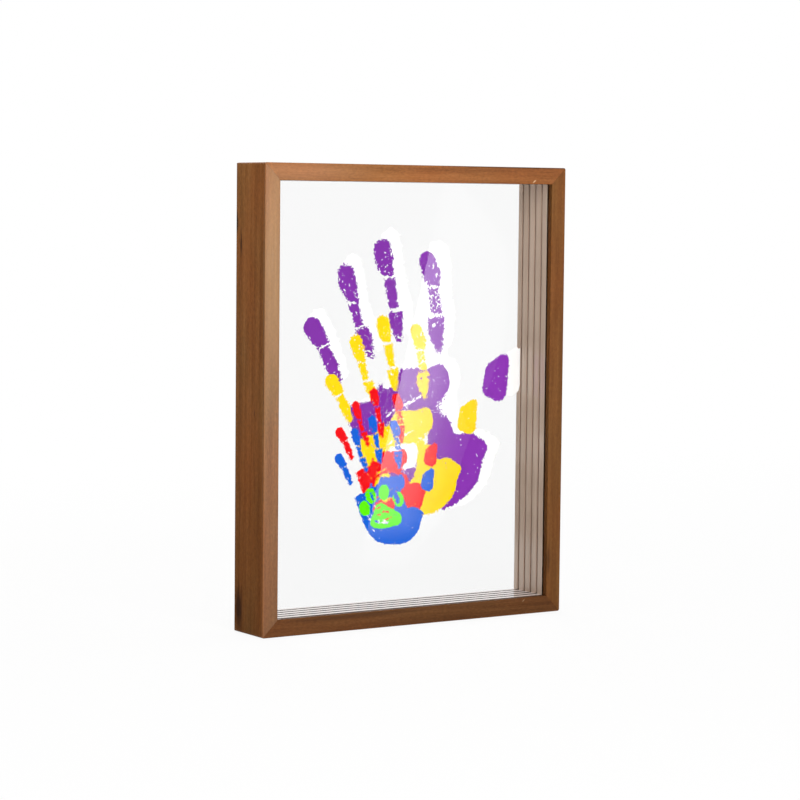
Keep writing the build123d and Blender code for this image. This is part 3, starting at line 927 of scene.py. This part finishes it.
# softbox and dark flags that the front panel mirrors, out of the camera's sight
glareLook = {
    "slant": ((178, 445.5), (576, 357.0)),  # height and place of the ends of their straight left edge
    "rows": (  # height in the picture and right edge of the bright reflection
        (246, 449), (275, 451), (300, 451), (325, 454), (340, 453), (349, 447), (357, 448), (363, 456),
        (372, 460), (382, 460), (392, 457), (405, 458), (420, 466), (440, 468), (460, 462),
        (520, 442), (541, 424)),
    "paleRows": (  # the same for the curved edge of the faint one around it
        (178, 452), (190, 466), (205, 479), (225, 493), (250, 506), (275, 509), (300, 509), (325, 506),
        (350, 501), (380, 491), (412, 479), (460, 462), (520, 442), (545, 422), (565, 407), (576, 392)),
    "across": (  # brightness from the slanted edge to the right, and from the top down
        (0.0, 1.0), (0.13, 0.88), (0.24, 0.71), (0.35, 0.36), (0.46, 0.17), (0.58, 0.07), (1.0, 0.04)),
    "down": (
        (0.0, 0.72), (0.14, 0.72), (0.31, 0.70), (0.47, 0.98), (0.56, 0.80), (0.71, 0.68), (0.93, 0.48),
        (1.0, 0.08)),
    "tint": (1.0, 0.985, 0.99, 1.0),
    "pale": 0.5,
    "spread": 150.0,  # picture points over which it fades
    "flagColour": (0.004, 0.004, 0.004),
    "flagLow": (120.0, 60.0),
    "flagHigh": (700.0, 760.0),
    "floorFlags": (((-0.8, -1.9), (1.7, -0.0215)), ((-0.8, -0.0215), (-0.124, 0.9))),
    "floorLift": 0.0004,
    "sideFlag": ((-0.45, -0.2), (-0.65, 1.1)),  # its two ends on the floor
    "sideHeights": (0.001, 0.9),
    "reach": 0.28,
    "paleReach": 0.30,
    "flagReach": 1.5,
    "peak": 7.8,
}


def mirrorPoint(picture, view, reach):
    # where the camera looks after the front panel mirrors this picture point
    right, up, back = cameraAxes(view)
    half = view["picture"] / 2
    ray = right * (picture[0] - half) - up * (picture[1] - half) - back * view["focalPixels"]
    place = Vector(view["place"])
    hit = place + ray * ((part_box("panel_1")[0].y - place.y) / ray.y)
    bounced = Vector((ray.x, -ray.y, ray.z))
    middle = Vector((-back.x, back.y, -back.z))  # mirrored view direction
    centre = Vector((0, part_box("panel_1")[0].y, halfHeight))
    return hit + bounced * ((centre + middle * reach - hit).dot(middle) / bounced.dot(middle))


def makeCard(name, rows, material, fades=None):
    # a strip of faces between rows of two points each
    bpy.ops.object.select_all(action="DESELECT")
    bpy.ops.mesh.primitive_grid_add(x_subdivisions=1, y_subdivisions=len(rows) - 1, size=1)
    card = bpy.context.object
    card.name = name
    for vertex, place in zip(card.data.vertices, [point for row in rows for point in row]):
        vertex.co = place
    if fades:
        for corner, spot in zip(card.data.loops, card.data.uv_layers.active.data):
            spot.uv = fades[corner.vertex_index]
    card.data.materials.append(material)
    card.visible_camera = False
    card.visible_diffuse = False
    card.visible_shadow = False
    card.visible_transmission = False


def glowMaterial(name, **inputs):
    material, tree, shader = newMaterial(name)
    tree.nodes.remove(shader)
    lamp = addNode(tree, "Emission", inputs)
    tree.links.new(lamp.outputs[0], tree.nodes["Material Output"].inputs["Surface"])
    return material, tree, lamp


def slantAt(height, slant):
    (top, start), (foot, end) = slant
    return start + (end - start) * (height - top) / (foot - top)


def makeGlare(look, view):
    softbox, tree, lamp = glowMaterial("softboxFace", Color=look["tint"])
    axes = addNode(tree, "SeparateXYZ", {"Vector": addNode(tree, "TexCoord").outputs["UV"]})
    across, down = (rampNode(tree, axes.outputs[axis], [(place, (level,) * 3) for place, level in look[key]])
                    for axis, key in enumerate(("across", "down")))
    glow = mathNode(tree, "MULTIPLY", mathNode(tree, "MULTIPLY", across, down), look["peak"])
    tree.links.new(glow, lamp.inputs["Strength"])
    rows, fades = [], []
    top, foot = look["rows"][0][0], look["rows"][-1][0]
    for height, right in look["rows"]:
        left = slantAt(height, look["slant"])
        rows.append([mirrorPoint((x, height), view, look["reach"]) for x in (left, right)])
        fades += [((x - left) / look["spread"], (height - top) / (foot - top)) for x in (left, right)]
    makeCard("slantedSoftbox", rows, softbox, fades)
    paleCard = glowMaterial("paleCard", Color=(1.0, 1.0, 1.0, 1.0), Strength=look["pale"])[0]
    rows = []
    for height, right in look["paleRows"]:
        edges = slantAt(height, look["slant"]), right
        rows.append([mirrorPoint((x, height), view, look["paleReach"]) for x in edges])
    makeCard("paleCard", rows, paleCard)

    flag = matteMaterial("darkFlag", look["flagColour"])[0]
    (lowX, lowY), (highX, highY) = look["flagLow"], look["flagHigh"]
    rows = [[mirrorPoint((x, y), view, look["flagReach"]) for x in (lowX, highX)] for y in (highY, lowY)]
    makeCard("darkFlag", rows, flag)
    for (left, near), (right, far) in look["floorFlags"]:
        makeCard("floorFlag", [[(x, y, look["floorLift"]) for x in (left, right)] for y in (near, far)], flag)
    makeCard("sideFlag", [[(*end, z) for end in look["sideFlag"]] for z in look["sideHeights"]], flag)


makeFloor(studioLook)
makeWorld(studioLook)
for name, lamp in lamps.items():
    makeLamp(name, lamp)
makeGlare(glareLook, cameraView)
scene.view_settings.view_transform = "Standard"
scene.cycles.transparent_max_bounces = studioLook["clearBounces"]
scene.cycles.max_bounces = studioLook["bounces"]
print("floor, world and lamps set")
